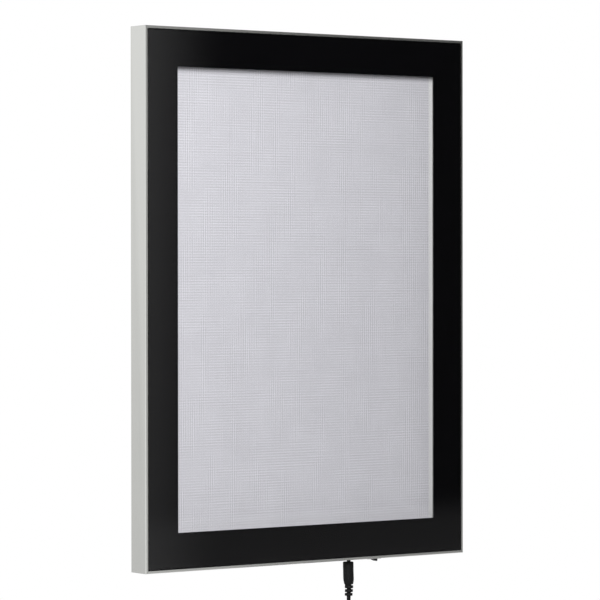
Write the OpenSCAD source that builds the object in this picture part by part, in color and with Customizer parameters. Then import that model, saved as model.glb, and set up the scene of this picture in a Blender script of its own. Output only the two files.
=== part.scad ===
// Slim poster light box for the wall. A mitred aluminium frame holds an edge lit light guide,
// and a clear front with a black border lifts off four rows of magnets.
// A low voltage plug and a rocker switch sit in the lower rail.
// Origin at the middle of the rear face, in the wall plane. Z is up and the front faces minus Y.
// Sizes are in millimetres. Inside a rail, u runs inward from its outer face and v back from the front.

/* [Poster] */
// Width of the poster sheet
poster_w = 297; // [210:1:420]
// Height of the poster sheet
poster_h = 420; // [297:1:594]
// How far the border covers the sheet on each side
poster_overlap = 5; // [3:0.5:8]
// Width of the black border with the frame lip
border_w = 35; // [34:0.5:45]

/* [Frame] */
// Depth of the box from front to wall
depth = 23.5; // [23:0.5:32]
// Thickness of the outer wall, seen as the lip round the cover
wall_t = 2.3; // [1.8:0.1:2.8]
// Bevel on the outer edges of the rails
edge = 0.4; // [0.2:0.1:0.6]
// Thickness of the shelf under the cover
shelf_t = 1.6; // [1.4:0.1:1.9]
// Distance of the light wall from the outside
web_u = 23.5; // [22.5:0.5:25]
// Thickness of the light wall
web_t = 1.5; // [1.2:0.1:1.8]
// Width of the thin flange over the edge of the light guide
flange_w = 6; // [4:0.5:7]
// Thickness of that flange
flange_t = 1; // [0.8:0.1:1.2]
// Thickness of the rear foot and the rear seat
foot_t = 1.5; // [1.2:0.1:1.8]
// Width of the rear foot
foot_w = 7.5; // [6.5:0.5:8]
// Length of a corner key arm from the outer corner
key_l = 44; // [36:1:60]
// Width of a corner key arm
key_w = 11.8; // [10:0.2:12.4]
// Distance of a corner screw from the outer corner along the rail
screw_run = 30; // [24:1:34]

/* [Cover] */
// How far the front pane lies behind the lip
cover_recess = 0.3; // [0.1:0.1:0.6]
// Thickness of the front pane
pane_t = 1.5; // [1.4:0.1:3]
// Bevel round the front of the pane
pane_bevel = 0.8; // [0.4:0.1:1.2]
// Thickness of the black border sheet
mask_t = 0.8; // [0.5:0.1:1]
// Gap between the cover and the lip
cover_gap = 0.35; // [0.25:0.05:0.5]
// Gap between the border sheet and the magnets
magnet_gap = 0.2; // [0.1:0.05:0.4]
// Length of a magnet bar
magnet_l = 30; // [20:1:40]
// Width of a magnet bar
magnet_w = 9.6; // [7:0.2:10]
// Thickness of a magnet bar
magnet_t = 1.6; // [1.4:0.1:2]

/* [Light] */
// Thickness of the light guide
guide_t = 6; // [5.5:0.5:6.5]
// Thickness of the reflector sheet
reflector_t = 0.5; // [0.3:0.1:0.8]
// Thickness of the back panel
panel_t = 2; // [1.8:0.1:2.4]
// Light chips on each board
chips = 30; // [12:1:36]
// Light board thickness
board_t = 1; // [0.8:0.1:1.2]
// Light chip height
chip_t = 0.8; // [0.6:0.1:1]
// Distance of a back screw from the outer corner along the rail
back_screw_run = 60; // [50:1:90]

/* [Wall keyholes] */
// Distance of a keyhole from the side of the box
keyhole_inset = 58.5; // [56:0.5:70]
// Diameter of the keyhole entry
keyhole_d = 8.5; // [7.5:0.1:8.7]
// Width of the keyhole slot
keyhole_slot = 4.4; // [3.6:0.1:4.6]
// How far the slot rises from the entry
keyhole_rise = 5; // [4.6:0.1:5]
// Distance of the entry from the top of the box
keyhole_drop = 12.5; // [12.4:0.1:12.6]

/* [Socket and switch] */
// Place of the socket, right of the middle
jack_x = 53.6; // [40:0.1:58]
// Place of the switch, right of the middle
switch_x = 80; // [78:0.1:100]
// Bush diameter of the socket
jack_d = 8; // [7:0.1:8.4]
// Travel angle of the rocker
rocker_travel = 24; // [16:1:24]
// Rocker length
rocker_l = 10.8; // [9:0.2:11]
// Rocker width
rocker_w = 6; // [5:0.2:6.2]

/* [Lead] */
// Cord diameter
cord_d = 3.2; // [3:0.1:3.2]
// Gap between the box and the moulded plug
plug_gap = 2.9; // [2.4:0.1:4]
// Diameter of the moulded plug
plug_d = 9.8; // [8:0.1:10.4]
// Length of the moulded plug without its relief
plug_l = 20.4; // [16:0.2:24]
// Barrel diameter of the plug
barrel_d = 3.5; // [3.2:0.1:3.6]
// Turns in each layer of the coil
coil_turns = 3; // [2:1:3]
// Layers of the coil
coil_layers = 4; // [2:2:4]
// Outer radius of the coil, to the middle of the cord
coil_r = 24; // [24:0.5:28]

/* [Adapter] */
// Width of the plug-in adapter
adapter_w = 34; // [32:1:44]
// Thickness of the adapter
adapter_t = 22; // [20:1:26]
// Height of the adapter
adapter_h = 58; // [50:1:80]
// Diameter of a mains pin
pin_d = 4; // [3.9:0.1:4.1]
// Distance between the mains pins
pin_pitch = 19; // [18.6:0.1:19.2]
// Length of a mains pin
pin_l = 19; // [17:0.5:20]

/* [Hidden] */
$fn = 48;

// Clearances: a sliding or dropped in fit, a close fit and a running fit
fit = 0.3;
snug = 0.05;
run_fit = 0.06;

// Outline of the box and its sight opening
sight_w = poster_w - 2 * poster_overlap;
sight_h = poster_h - 2 * poster_overlap;
box_w = sight_w + 2 * border_w;
box_h = sight_h + 2 * border_w;
z_low = -box_h / 2;

// Depths from the front
v_pane = cover_recess;
v_mask = v_pane + pane_t;
v_magnet = v_mask + mask_t + magnet_gap;
v_shelf = v_magnet + magnet_t;
v_room = v_shelf + shelf_t;
v_guide = v_shelf + flange_t;
v_reflector = v_guide + guide_t;
v_board = v_reflector + reflector_t;
v_panel = depth - panel_t;
v_foot = v_panel - foot_t;

// Places across a rail
u_in = web_u + web_t;
u_flange = u_in + flange_w;
u_board = u_in + board_t;
u_guide_side = u_board + chip_t + 0.5;
u_guide_end = u_in + fit;
u_key = wall_t + snug;
key_rib_u = u_key + key_w + 0.1;
rib_t = 0.6;
magnet_u = 17;
seat_w = 2.7;
mitre = 40;

// Screws
screw_head_d = 6.4;
screw_d = 3.4;
screw_l = 11;
screw_u = u_key + key_w / 2;
back_head_d = 5.6;
back_d = 2.9;
back_l = 5;
back_u = u_in - web_t - 2.9;

// Socket and switch
elec_v = (v_room + v_foot) / 2;
elec_y = elec_v - depth;
jack_flange_d = jack_d + 2.5;
jack_flange_t = 0.8;
jack_bush_l = 6.2;
jack_house_d = 9.6;
jack_house_l = 8;
jack_bore = barrel_d + 2 * run_fit;
jack_nut_t = 1.8;
jack_tag_l = 3;
bezel_t = 1.1;
bezel_w = rocker_w + 4.2;
bezel_l = rocker_l + 5.4;
house_w = rocker_w + 2.4;
house_l = rocker_l + 3.4;
house_h = 12;
well_l = rocker_l + 1.9;
well_w = rocker_w + 0.5;
well_h = 6.5;
pivot_in = 1.5;
pivot_d = 2;
pivot_l = 0.7;
vee = rocker_travel / 2;
blade_l = 4.5;
blade_x = 3.6;

// Plug, from its shoulder down
z_plug = z_low - plug_gap;
ring_t = 1.7;
ring_step = 3.45;
ring_first = plug_l + 1.5;
rings = [7.4, 6.6, 6.15];
plug_end = ring_first + ring_step * (len(rings) - 1) + ring_t;
z_cord = z_plug - plug_end;
barrel_l = 9.5;
barrel_bore = 1.5;
core_d = cord_d + 0.4;

// Cord: a straight drop, the coil, and a tail down to the adapter
cord_r = cord_d / 2;
coil_step = cord_d + 0.5;
coil_mid_x = jack_x + coil_r;
coil_drop = 41;
z_coil = z_cord - coil_drop;
coil_in = coil_r - coil_turns * coil_step;
coil_all = coil_turns * coil_layers;
coil_back_y = elec_y + coil_step * (coil_layers - 1) / 2;
coil_front_y = elec_y - coil_step * (coil_layers - 1) / 2;
coil_stub = 2 * cord_d;
loop_rings = 24;
tie_l = 6;
tie_t = 1;
adapter_y = -adapter_t / 2 - 0.6;
tail_l = 26;
grommet_l = 16;
z_grommet = z_coil - coil_stub - tail_l;
z_adapter = z_grommet - grommet_l;
cap_l = 16;
soft_r = 4;

function ease(s) = s <= 0 ? 0 : s >= 1 ? 1 : s * s * (3 - 2 * s);
function unit(a) = a / norm(a);
function tangent(p, i) = unit(p[min(i + 1, len(p) - 1)] - p[max(i - 1, 0)]);

// The coil winds in and out again, and climbs a layer in the half turn where it reverses
function swing(t) = abs(((t + coil_turns) % (2 * coil_turns)) - coil_turns);
function climb(t, k) = ease((t - k * coil_turns + 0.25) / 0.5);
function layer(t) = climb(t, 1) + (coil_layers > 2 ? climb(t, 2) + climb(t, 3) : 0);
function coil_point(t) =
    let (r = coil_r - coil_step * swing(t))
    [coil_mid_x - r * cos(360 * t), coil_back_y - coil_step * layer(t), z_coil - r * sin(360 * t)];
coil_path = concat(
    [for (k = [2:-1:1]) [jack_x, coil_back_y, z_coil + coil_stub * k / 2]],
    [for (i = [0:coil_all * loop_rings]) coil_point(i / loop_rings)],
    [for (k = [1:2]) [jack_x, coil_front_y, z_coil - coil_stub * k / 2]]);

// Routes of the free stretches: share of the sideways step and share of the way down
upper_steps = [[0, 0], [0, 0.06], [0, 0.12], [0.03, 0.2], [0.11, 0.28], [0.24, 0.36], [0.41, 0.44],
               [0.59, 0.52], [0.76, 0.6], [0.89, 0.68], [0.97, 0.76], [1, 0.84], [1, 0.92], [1, 1]];
upper_path = [for (s = upper_steps)
    [jack_x, elec_y + (coil_back_y - elec_y) * s[0], z_cord - (coil_drop - coil_stub) * s[1]]];
tail_path = [for (s = upper_steps)
    [jack_x, coil_front_y + (adapter_y - coil_front_y) * s[0], z_coil - coil_stub - tail_l * s[1]]];

function length_of(p, i = 0) = i >= len(p) - 1 ? 0 : norm(p[i + 1] - p[i]) + length_of(p, i + 1);
coil_gap = min([for (i = [0:len(coil_path) - 1]) for (j = [i + 10:1:len(coil_path) - 1])
    norm(coil_path[i] - coil_path[j])]) - cord_d;
cord_l = length_of(upper_path) + length_of(coil_path) + length_of(tail_path);
echo(coil_least_gap = coil_gap, cord_length = cord_l, box = [box_w, depth, box_h]);

// Flat plate centred on the box, from depth a to depth b
module plate(w, h, a, b) {
    translate([-w / 2, a - depth, -h / 2]) cube([w, b - a, h]);
}

// Round bar along Y, from depth a to depth b
module bar_y(x, z, d, a, b) {
    translate([x, a - depth, z]) rotate([-90, 0, 0]) cylinder(d = d, h = b - a);
}

// Block in the lower rail: x range, v range and u range
module low_block(x, w, v, t, a, b) {
    translate([x - w / 2, v - t / 2 - depth, z_low + a]) cube([w, t, b - a]);
}

// Swept tube of round cord
module tube(path, sides) {
    count = len(path);
    points = [for (i = [0:count - 1])
        let (t = tangent(path, i), a = unit([0, 1, 0] - t[1] * t), b = cross(t, a))
        for (k = [0:sides - 1]) path[i] + cord_r * (cos(360 * k / sides) * a + sin(360 * k / sides) * b)];
    skin = [for (i = [0:count - 2]) for (k = [0:sides - 1])
        let (n = (k + 1) % sides, lo = i * sides, hi = lo + sides)
        each [[lo + k, hi + k, hi + n], [lo + k, hi + n, lo + n]]];
    first = [for (k = [1:sides - 2]) [0, k, k + 1]];
    last = [for (k = [1:sides - 2]) let (e = (count - 1) * sides) [e, e + k + 1, e + k]];
    polyhedron(points, concat(skin, first, last));
}

// Wire of straight runs with round elbows
module wire(path, d) {
    for (i = [0:len(path) - 2]) {
        run = path[i + 1] - path[i];
        translate(path[i])
            rotate([0, acos(run[2] / norm(run)), atan2(run[1], run[0])])
                cylinder(d = d, h = norm(run), $fn = 24);
        if (i > 0) translate(path[i]) sphere(d = d, $fn = 24);
    }
}

// Outline with round corners
module round_rect(w, h, r) {
    square([w - 2 * r, h], center = true);
    square([w, h - 2 * r], center = true);
    for (x = [-1, 1]) for (y = [-1, 1]) translate([x * (w / 2 - r), y * (h / 2 - r)]) circle(r);
}

// Section of a rail
module rail_section() {
    polygon([[edge, 0], [wall_t, 0], [wall_t, depth],
             [edge, depth], [0, depth - edge], [0, edge]]);
    translate([wall_t / 2, v_shelf]) square([u_in - wall_t / 2, shelf_t]);
    translate([web_u, v_shelf]) square([u_flange - web_u, flange_t]);
    translate([web_u, v_shelf]) square([web_t, v_panel - v_shelf]);
    translate([u_in - foot_w, v_foot]) square([foot_w, foot_t]);
    translate([wall_t / 2, v_foot]) square([wall_t / 2 + seat_w, foot_t]);
    translate([key_rib_u, v_room - shelf_t / 2]) square([rib_t * 2, shelf_t / 2 + 1.6]);
    for (s = [-1, 1])
        translate([magnet_u + s * (magnet_w / 2 + 0.1 + rib_t / 2) - rib_t / 2, v_shelf - rib_t])
            square([rib_t, rib_t + shelf_t / 2]);
}

// Mitred rail, with u along X from zero and the length along Z
module rail(long) {
    intersection() {
        translate([0, -depth, -long / 2]) linear_extrude(long) rail_section();
        translate([0, 1, 0]) rotate([90, 0, 0]) linear_extrude(depth + 2)
            polygon([[-1, -long / 2 - 1], [mitre, mitre - long / 2],
                     [mitre, long / 2 - mitre], [-1, long / 2 + 1]]);
    }
}

// Corner screws and back screws: each child is drawn at every place
module at_corner_screws() {
    for (x = [-1, 1]) for (z = [-1, 1]) {
        translate([x * (box_w / 2 - screw_run), 0, z * (box_h / 2 - screw_u)]) children();
        translate([x * (box_w / 2 - screw_u), 0, z * (box_h / 2 - screw_run)]) children();
    }
}

module at_back_screws() {
    for (x = [-1, 1]) for (z = [-1, 1]) {
        translate([x * (box_w / 2 - back_screw_run), 0, z * (box_h / 2 - back_u)]) children();
        translate([x * (box_w / 2 - back_u), 0, z * (box_h / 2 - back_screw_run)]) children();
    }
    for (x = [-1, 1]) translate([x * (box_w / 2 - back_u), 0, 0]) children();
}

// Flat headed screw from depth zero backwards, grown by g
module flat_screw(head_d, d, long, g) {
    rotate([-90, 0, 0]) {
        cylinder(d1 = head_d + 2 * g, d2 = d + 2 * g, h = (head_d - d) / 2);
        cylinder(d = d + 2 * g, h = long + g);
    }
}

module corner_screw_set(g) {
    at_corner_screws() translate([0, v_shelf - depth, 0]) flat_screw(screw_head_d, screw_d, screw_l, g);
}

module back_screw_set(g) {
    at_back_screws() mirror([0, 1, 0]) flat_screw(back_head_d, back_d, back_l, g);
}

// Hole in the light wall of a side rail for its wire
wire_d = 1.6;
wire_z = z_low + 33;
wire_v = v_room + 3.2;
wire_u = web_u - 4.5;
board_gap = 37;

module side_rail() {
    difference() {
        translate([-box_w / 2, 0, 0]) rail(box_h);
        corner_screw_set(snug);
        back_screw_set(snug);
    }
}

module frame_left() {
    color("#c4c5c1") difference() {
        side_rail();
        wire_hole();
    }
}

module frame_right() {
    color("#c4c5c1") mirror([1, 0, 0]) difference() {
        side_rail();
        wire_hole();
    }
}

module wire_hole() {
    translate([web_u - box_w / 2 - 1, wire_v - depth, wire_z])
        rotate([0, 90, 0]) cylinder(d = wire_d + 1, h = web_t + 2);
}

module end_rail() {
    difference() {
        translate([0, 0, z_low]) rotate([0, -90, 0]) rail(box_w);
        corner_screw_set(snug);
        back_screw_set(snug);
    }
}

module frame_top() {
    color("#c4c5c1") mirror([0, 0, 1]) end_rail();
}

module frame_bottom() {
    color("#c4c5c1") difference() {
        end_rail();
        translate([jack_x, elec_y, z_low - 1]) cylinder(d = jack_d + 2 * snug, h = wall_t + 2);
        low_block(switch_x, house_l + 2 * snug, elec_v, house_w + 2 * snug, -1, wall_t + 1);
    }
}

// Angle blocks that join the mitres, set between the shelf and the rear seat
module corner_keys() {
    color("#9a9c9e") difference() {
        for (x = [-1, 1]) for (z = [-1, 1]) scale([x, 1, z])
            translate([box_w / 2, v_foot - snug - depth, box_h / 2]) rotate([90, 0, 0])
                linear_extrude(v_foot - v_room - 2 * snug)
                    polygon([[-u_key, -u_key], [-key_l, -u_key], [-key_l, -u_key - key_w],
                             [-u_key - key_w, -u_key - key_w], [-u_key - key_w, -key_l], [-u_key, -key_l]]);
        at_corner_screws() rotate([-90, 0, 0])
            translate([0, 0, v_room - depth - 1]) cylinder(d = screw_d + 2 * snug, h = screw_l + 1);
    }
}

module corner_screws() {
    color("#8d9094") corner_screw_set(0);
}

// Magnet bars between their two ribs on the shelf
module magnets() {
    color("#55575a") {
        for (z = [-1, 1]) for (k = [-1, 1])
            translate([k * box_w / 6, v_magnet - depth, z * (box_h / 2 - magnet_u)])
                translate([-magnet_l / 2, 0, -magnet_w / 2]) cube([magnet_l, magnet_t, magnet_w]);
        for (x = [-1, 1]) for (k = [-1:1])
            translate([x * (box_w / 2 - magnet_u), v_magnet - depth, k * box_h / 3.4])
                translate([-magnet_w / 2, 0, -magnet_l / 2]) cube([magnet_w, magnet_t, magnet_l]);
    }
}

// Clear plate whose fine grid spreads the light of both boards
module light_guide() {
    color("#dfe0e6") plate(box_w - 2 * u_guide_side, box_h - 2 * u_guide_end, v_guide, v_reflector);
}

module reflector() {
    color("#f4f4f2") plate(box_w - 2 * u_guide_side, box_h - 2 * u_guide_end, v_reflector, v_board);
}

// Stiff foam board that presses the light guide against the flange
module backing_board() {
    color("#e8e8e4") plate(box_w - 2 * u_guide_end, box_h - 2 * u_guide_end, v_board, v_panel);
}

module keyhole() {
    bar_y(0, 0, keyhole_d, v_panel - 1, depth + 1);
    bar_y(0, keyhole_rise, keyhole_slot, v_panel - 1, depth + 1);
    translate([-keyhole_slot / 2, v_panel - 1 - depth, 0]) cube([keyhole_slot, panel_t + 2, keyhole_rise]);
}

module back_panel() {
    color("#d9dad8") difference() {
        plate(box_w - 2 * (wall_t + fit), box_h - 2 * (wall_t + fit), v_panel, depth);
        for (s = [-1, 1])
            translate([s * (box_w / 2 - keyhole_inset), 0, box_h / 2 - keyhole_drop]) keyhole();
        back_screw_set(snug);
    }
}

module back_screws() {
    color("#8d9094") back_screw_set(0);
}

// Light board on the inner face of the left wall
module board() {
    long = box_h - 2 * board_gap;
    translate([u_in - box_w / 2, v_guide + 0.3 - depth, -long / 2]) cube([board_t, guide_t - 0.6, long]);
}

module chip_row() {
    long = box_h - 2 * board_gap - 10;
    for (i = [0:chips - 1])
        translate([u_board - box_w / 2, v_guide + guide_t / 2 - 1.75 - depth,
                   -long / 2 + long * i / (chips - 1) - 1.4])
            cube([chip_t, 3.5, 2.8]);
}

module led_board_left() {
    color("#f2f2ee") board();
}

module led_board_right() {
    color("#f2f2ee") mirror([1, 0, 0]) board();
}

module led_chips_left() {
    color("#f0d878") chip_row();
}

module led_chips_right() {
    color("#f0d878") mirror([1, 0, 0]) chip_row();
}

// Socket: thin flange outside, bush through the wall, round house inside
module jack_body() {
    color("#1c1c1e") translate([jack_x, elec_y, z_low]) difference() {
        union() {
            translate([0, 0, -jack_flange_t]) cylinder(d = jack_flange_d, h = jack_flange_t);
            translate([0, 0, -jack_flange_t / 2]) cylinder(d = jack_d, h = jack_flange_t / 2 + jack_bush_l);
            translate([0, 0, jack_bush_l]) cylinder(d = jack_house_d, h = jack_house_l);
        }
        translate([0, 0, -jack_flange_t - 1]) cylinder(d = jack_bore, h = jack_bush_l + jack_house_l);
        for (s = [-1, 1]) translate([s * 2.6 - 0.4, -1.2, jack_bush_l + jack_house_l - 1]) cube([0.8, 2.4, 2]);
    }
}

module jack_nut() {
    color("#c9ccd0") translate([jack_x, elec_y, z_low + wall_t]) difference() {
        cylinder(d = (jack_d + 2.4) / cos(30), h = jack_nut_t, $fn = 6);
        translate([0, 0, -1]) cylinder(d = jack_d + 2 * snug, h = jack_nut_t + 2);
    }
}

// Centre pin in the bore and two solder tags on top
module jack_contacts() {
    top = jack_bush_l + jack_house_l;
    color("#d8c48a") translate([jack_x, elec_y, z_low]) {
        translate([0, 0, 1]) cylinder(d = barrel_bore - 2 * run_fit, h = top - 1 - jack_flange_t - 1);
        for (s = [-1, 1]) translate([s * 2.6 - 0.4, -1.2, top - 1]) cube([0.8, 2.4, 1 + jack_tag_l]);
    }
}

// Switch: bezel outside, house through the wall, well for the rocker
module switch_housing() {
    color("#17171a") difference() {
        union() {
            translate([switch_x, elec_y, z_low - bezel_t]) linear_extrude(bezel_t) round_rect(bezel_l, bezel_w, 1);
            low_block(switch_x, house_l, elec_v, house_w, -bezel_t / 2, house_h);
        }
        low_block(switch_x, well_l, elec_v, well_w, -bezel_t - 1, well_h);
        translate([switch_x, elec_y, z_low + pivot_in]) rotate([90, 0, 0])
            cylinder(d = pivot_d + 2 * run_fit, h = rocker_w + 2 * pivot_l + 0.2, center = true);
    }
}

module switch_terminals() {
    color("#c9b27a") for (s = [-1, 1])
        low_block(switch_x + s * blade_x, 0.8, elec_v, 4, house_h, house_h + blade_l);
}

// Rocker at rest with its right end out and its left half level
module rocker() {
    reach = rocker_l / 2;
    peak = (pivot_in + bezel_t) / cos(vee);
    color("#1d1d20") translate([switch_x, elec_y, z_low + pivot_in]) rotate([90, 0, 0]) rotate([0, 0, vee * -1]) {
        linear_extrude(rocker_w, center = true)
            polygon([[0, -peak], [reach, -peak - reach * tan(vee)], [reach, -0.6], [2.4, 1.6],
                     [-2.4, 1.6], [-reach, -0.6], [-reach, -peak - reach * tan(vee)]]);
        cylinder(d = pivot_d, h = rocker_w + 2 * pivot_l, center = true);
    }
}

// Inner wires, each standing for a twin wire
module wire_link() {
    low = z_low + jack_bush_l + jack_house_l + jack_tag_l;
    far = z_low + house_h + blade_l;
    high = max(low, far) + 2;
    color("#b02a24") wire([[jack_x + 2.6, elec_y, low], [jack_x + 2.6, elec_y, high],
                           [switch_x - blade_x, elec_y, high], [switch_x - blade_x, elec_y, far]], wire_d);
}

// From a tag at x and height z along the lower rail, up into the side rail and through its wall
function feed(x, z, s) =
    let (y = wire_v - depth, side = box_w / 2 - wire_u, end = box_w / 2 - u_in - wire_d / 2 - 0.1,
         run = z_low + wire_u)
    [[x, elec_y, z], [x, elec_y, run], [x, y, run], [s * side, y, run], [s * side, y, wire_z],
     [s * end, y, wire_z], [s * end, y, z_low + board_gap]];

module wire_left() {
    color("#1a1a1a") wire(feed(jack_x - 2.6, z_low + jack_bush_l + jack_house_l + jack_tag_l, -1), wire_d);
}

module wire_right() {
    color("#1a1a1a") wire(feed(switch_x + blade_x, z_low + house_h + blade_l, 1), wire_d);
}

// Clear front with a bevel all round
module cover_pane() {
    w = box_w - 2 * (wall_t + cover_gap);
    h = box_h - 2 * (wall_t + cover_gap);
    color([0.85, 0.9, 0.92, 0.35]) translate([0, v_mask - depth, 0]) intersection() {
        translate([0, 0, -h / 2]) linear_extrude(h)
            polygon([[-w / 2, 0], [w / 2, 0], [w / 2, pane_bevel - pane_t], [w / 2 - pane_bevel, -pane_t],
                     [pane_bevel - w / 2, -pane_t], [-w / 2, pane_bevel - pane_t]]);
        translate([-w / 2, 0, 0]) rotate([0, 90, 0]) linear_extrude(w)
            polygon([[-h / 2, 0], [h / 2, 0], [h / 2, pane_bevel - pane_t], [h / 2 - pane_bevel, -pane_t],
                     [pane_bevel - h / 2, -pane_t], [-h / 2, pane_bevel - pane_t]]);
    }
}

// Black ferrous sheet behind the pane
module cover_mask() {
    color("#0c0c0d") difference() {
        plate(box_w - 2 * (wall_t + cover_gap), box_h - 2 * (wall_t + cover_gap), v_mask, v_mask + mask_t);
        plate(sight_w, sight_h, v_mask - 1, v_mask + mask_t + 1);
    }
}

module plug_barrel() {
    color("#cfd2d5") translate([jack_x, elec_y, z_plug]) difference() {
        cylinder(d = barrel_d, h = barrel_l);
        translate([0, 0, -1]) cylinder(d = barrel_bore, h = barrel_l + 2);
    }
}

// Moulded plug with a slimmer lower end and a ringed relief
module plug_body() {
    color("#1b1b1d") translate([jack_x, elec_y, z_plug]) rotate_extrude()
        polygon(concat([[0, 0], [plug_d / 2 - 0.7, 0], [plug_d / 2, -0.9], [plug_d / 2, -plug_l + 4.6],
                        [plug_d / 2 - 0.9, -plug_l], [core_d / 2, -plug_l]],
            [for (i = [0:len(rings) - 1]) let (a = -ring_first - ring_step * i)
                each [[core_d / 2, a], [rings[i] / 2, a], [rings[i] / 2, a - ring_t], [core_d / 2, a - ring_t]]],
            [[0, -plug_end]]));
}

module lead_upper() {
    color("#202022") tube(upper_path, 8);
}

module lead_coil() {
    color("#202022") tube(coil_path, 6);
}

// Strap round all layers, where the lead meets the coil
module lead_tie() {
    w = coil_r - coil_in + cord_d + 1.2;
    h = coil_back_y - coil_front_y + cord_d + 0.8;
    color("#2c2c30")
        translate([coil_mid_x - (coil_r + coil_in) / 2 + 0.2, elec_y, z_coil - tie_l / 2]) linear_extrude(tie_l)
            difference() {
                round_rect(w + 2 * tie_t, h + 2 * tie_t, 1 + tie_t);
                round_rect(w, h, 1);
            }
}

module lead_tail() {
    color("#202022") tube(tail_path, 8);
}

// Tapered relief on top of the adapter
module adapter_grommet() {
    color("#1b1b1d") translate([jack_x, adapter_y, z_grommet]) rotate_extrude()
        polygon([[0, 0], [2.8, 0], [3.2, -4], [2.4, -4], [2.4, -5.2], [3.7, -5.2], [3.9, -9], [2.6, -9],
                 [2.6, -10.2], [4.4, -10.2], [4.8, -grommet_l], [0, -grommet_l]]);
}

// Soft cornered block of the whole adapter
module adapter_block() {
    hull() for (x = [-1, 1]) for (y = [-1, 1]) for (z = [0, 1])
        translate([jack_x + x * (adapter_w / 2 - soft_r), adapter_y + y * (adapter_t / 2 - soft_r),
                   z_adapter - soft_r - z * (adapter_h - 2 * soft_r)])
            sphere(soft_r, $fn = 24);
}

module adapter_case() {
    color("#19191b") intersection() {
        adapter_block();
        translate([jack_x - adapter_w, adapter_y - adapter_t, z_adapter - adapter_h + cap_l])
            cube([2 * adapter_w, 2 * adapter_t, adapter_h]);
    }
}

module adapter_cap() {
    color("#222225") intersection() {
        adapter_block();
        translate([jack_x - adapter_w, adapter_y - adapter_t, z_adapter - adapter_h - 1])
            cube([2 * adapter_w, 2 * adapter_t, cap_l + 1]);
    }
}

module adapter_pins() {
    color("#cfd2d5") for (s = [-1, 1])
        translate([jack_x + s * pin_pitch / 2, adapter_y, z_adapter - adapter_h - pin_l]) {
            translate([0, 0, pin_d / 2]) cylinder(d = pin_d, h = pin_l - pin_d / 2);
            translate([0, 0, pin_d / 2]) sphere(d = pin_d);
        }
}

frame_top();
frame_bottom();
frame_left();
frame_right();
corner_keys();
corner_screws();
magnets();
light_guide();
reflector();
backing_board();
back_panel();
back_screws();
led_board_left();
led_board_right();
led_chips_left();
led_chips_right();
jack_body();
jack_nut();
jack_contacts();
switch_housing();
switch_terminals();
wire_link();
wire_left();
wire_right();
cover_pane();
cover_mask();
rocker();
plug_barrel();
plug_body();
lead_upper();
lead_coil();
lead_tie();
lead_tail();
adapter_grommet();
adapter_case();
adapter_cap();
adapter_pins();
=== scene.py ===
# %% [markdown]
# # A poster light box for the wall
# The real object is a slim aluminium frame round an edge lit acrylic panel. A clear front with
# a black border lifts off magnets, and a low voltage lead plugs in from below.
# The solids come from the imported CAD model, and this lesson dresses them: it adds the pieces that
# need a finer form than the solids have, and gives every piece a finish made of nodes.

import bpy
import numpy as np
from mathutils import Matrix, Vector


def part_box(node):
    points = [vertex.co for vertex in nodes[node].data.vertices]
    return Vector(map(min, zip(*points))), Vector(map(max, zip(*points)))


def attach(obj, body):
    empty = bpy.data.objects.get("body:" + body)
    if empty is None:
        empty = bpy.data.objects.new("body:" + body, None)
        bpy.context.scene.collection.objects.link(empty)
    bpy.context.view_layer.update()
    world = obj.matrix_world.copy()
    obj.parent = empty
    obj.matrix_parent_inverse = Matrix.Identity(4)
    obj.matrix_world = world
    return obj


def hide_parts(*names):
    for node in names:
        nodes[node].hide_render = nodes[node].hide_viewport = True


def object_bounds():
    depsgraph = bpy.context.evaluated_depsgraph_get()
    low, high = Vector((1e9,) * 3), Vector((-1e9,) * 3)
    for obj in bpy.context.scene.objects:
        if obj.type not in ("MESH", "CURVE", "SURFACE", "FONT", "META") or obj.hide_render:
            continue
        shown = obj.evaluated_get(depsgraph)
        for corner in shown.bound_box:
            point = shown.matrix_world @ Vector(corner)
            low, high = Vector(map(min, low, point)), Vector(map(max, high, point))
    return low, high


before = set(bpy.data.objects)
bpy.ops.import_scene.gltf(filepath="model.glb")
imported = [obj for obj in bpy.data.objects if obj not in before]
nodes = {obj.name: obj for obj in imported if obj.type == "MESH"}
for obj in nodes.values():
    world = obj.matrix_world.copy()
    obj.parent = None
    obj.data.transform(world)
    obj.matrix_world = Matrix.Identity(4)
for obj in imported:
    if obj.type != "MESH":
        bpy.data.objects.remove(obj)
cad_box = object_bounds()
scene = bpy.context.scene
MM = 0.001
print("CAD box:", [[round(v, 4) for v in corner] for corner in cad_box])

# %% [markdown]
# ## Camera
# The picture was taken from the left, about 36 degrees off the front, level with the middle of the
# box and from nearly 3 m away through a long lens. A camera could be turned by eye until the edges
# agree, but the corners of the box fix it better: its place, three angles and focal length were
# solved so that the ten corners that can be read off the picture fall where they should. Light
# crosses four clear faces on its way to the film and four on its way back, so the number of clear
# faces that a ray may pass is raised here too.

# %% Camera
CAMERA_AT = np.array([-1759.46, -2406.38, 33.38]) * MM
YAW, PITCH, ROLL = np.radians([36.267, 0.674, -0.0482])
FOCAL_MM, SENSOR_MM = 196.19, 36.0
CLEAR_FACES = 32

ahead = np.array([np.sin(YAW) * np.cos(PITCH), np.cos(YAW) * np.cos(PITCH), -np.sin(PITCH)])
sideways = np.array([np.cos(YAW), -np.sin(YAW), 0.0])
upward = np.cross(sideways, ahead)
stance = np.eye(4)
stance[:3, 0] = sideways * np.cos(ROLL) + upward * np.sin(ROLL)
stance[:3, 1] = upward * np.cos(ROLL) - sideways * np.sin(ROLL)
stance[:3, 2] = -ahead
stance[:3, 3] = CAMERA_AT

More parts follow.
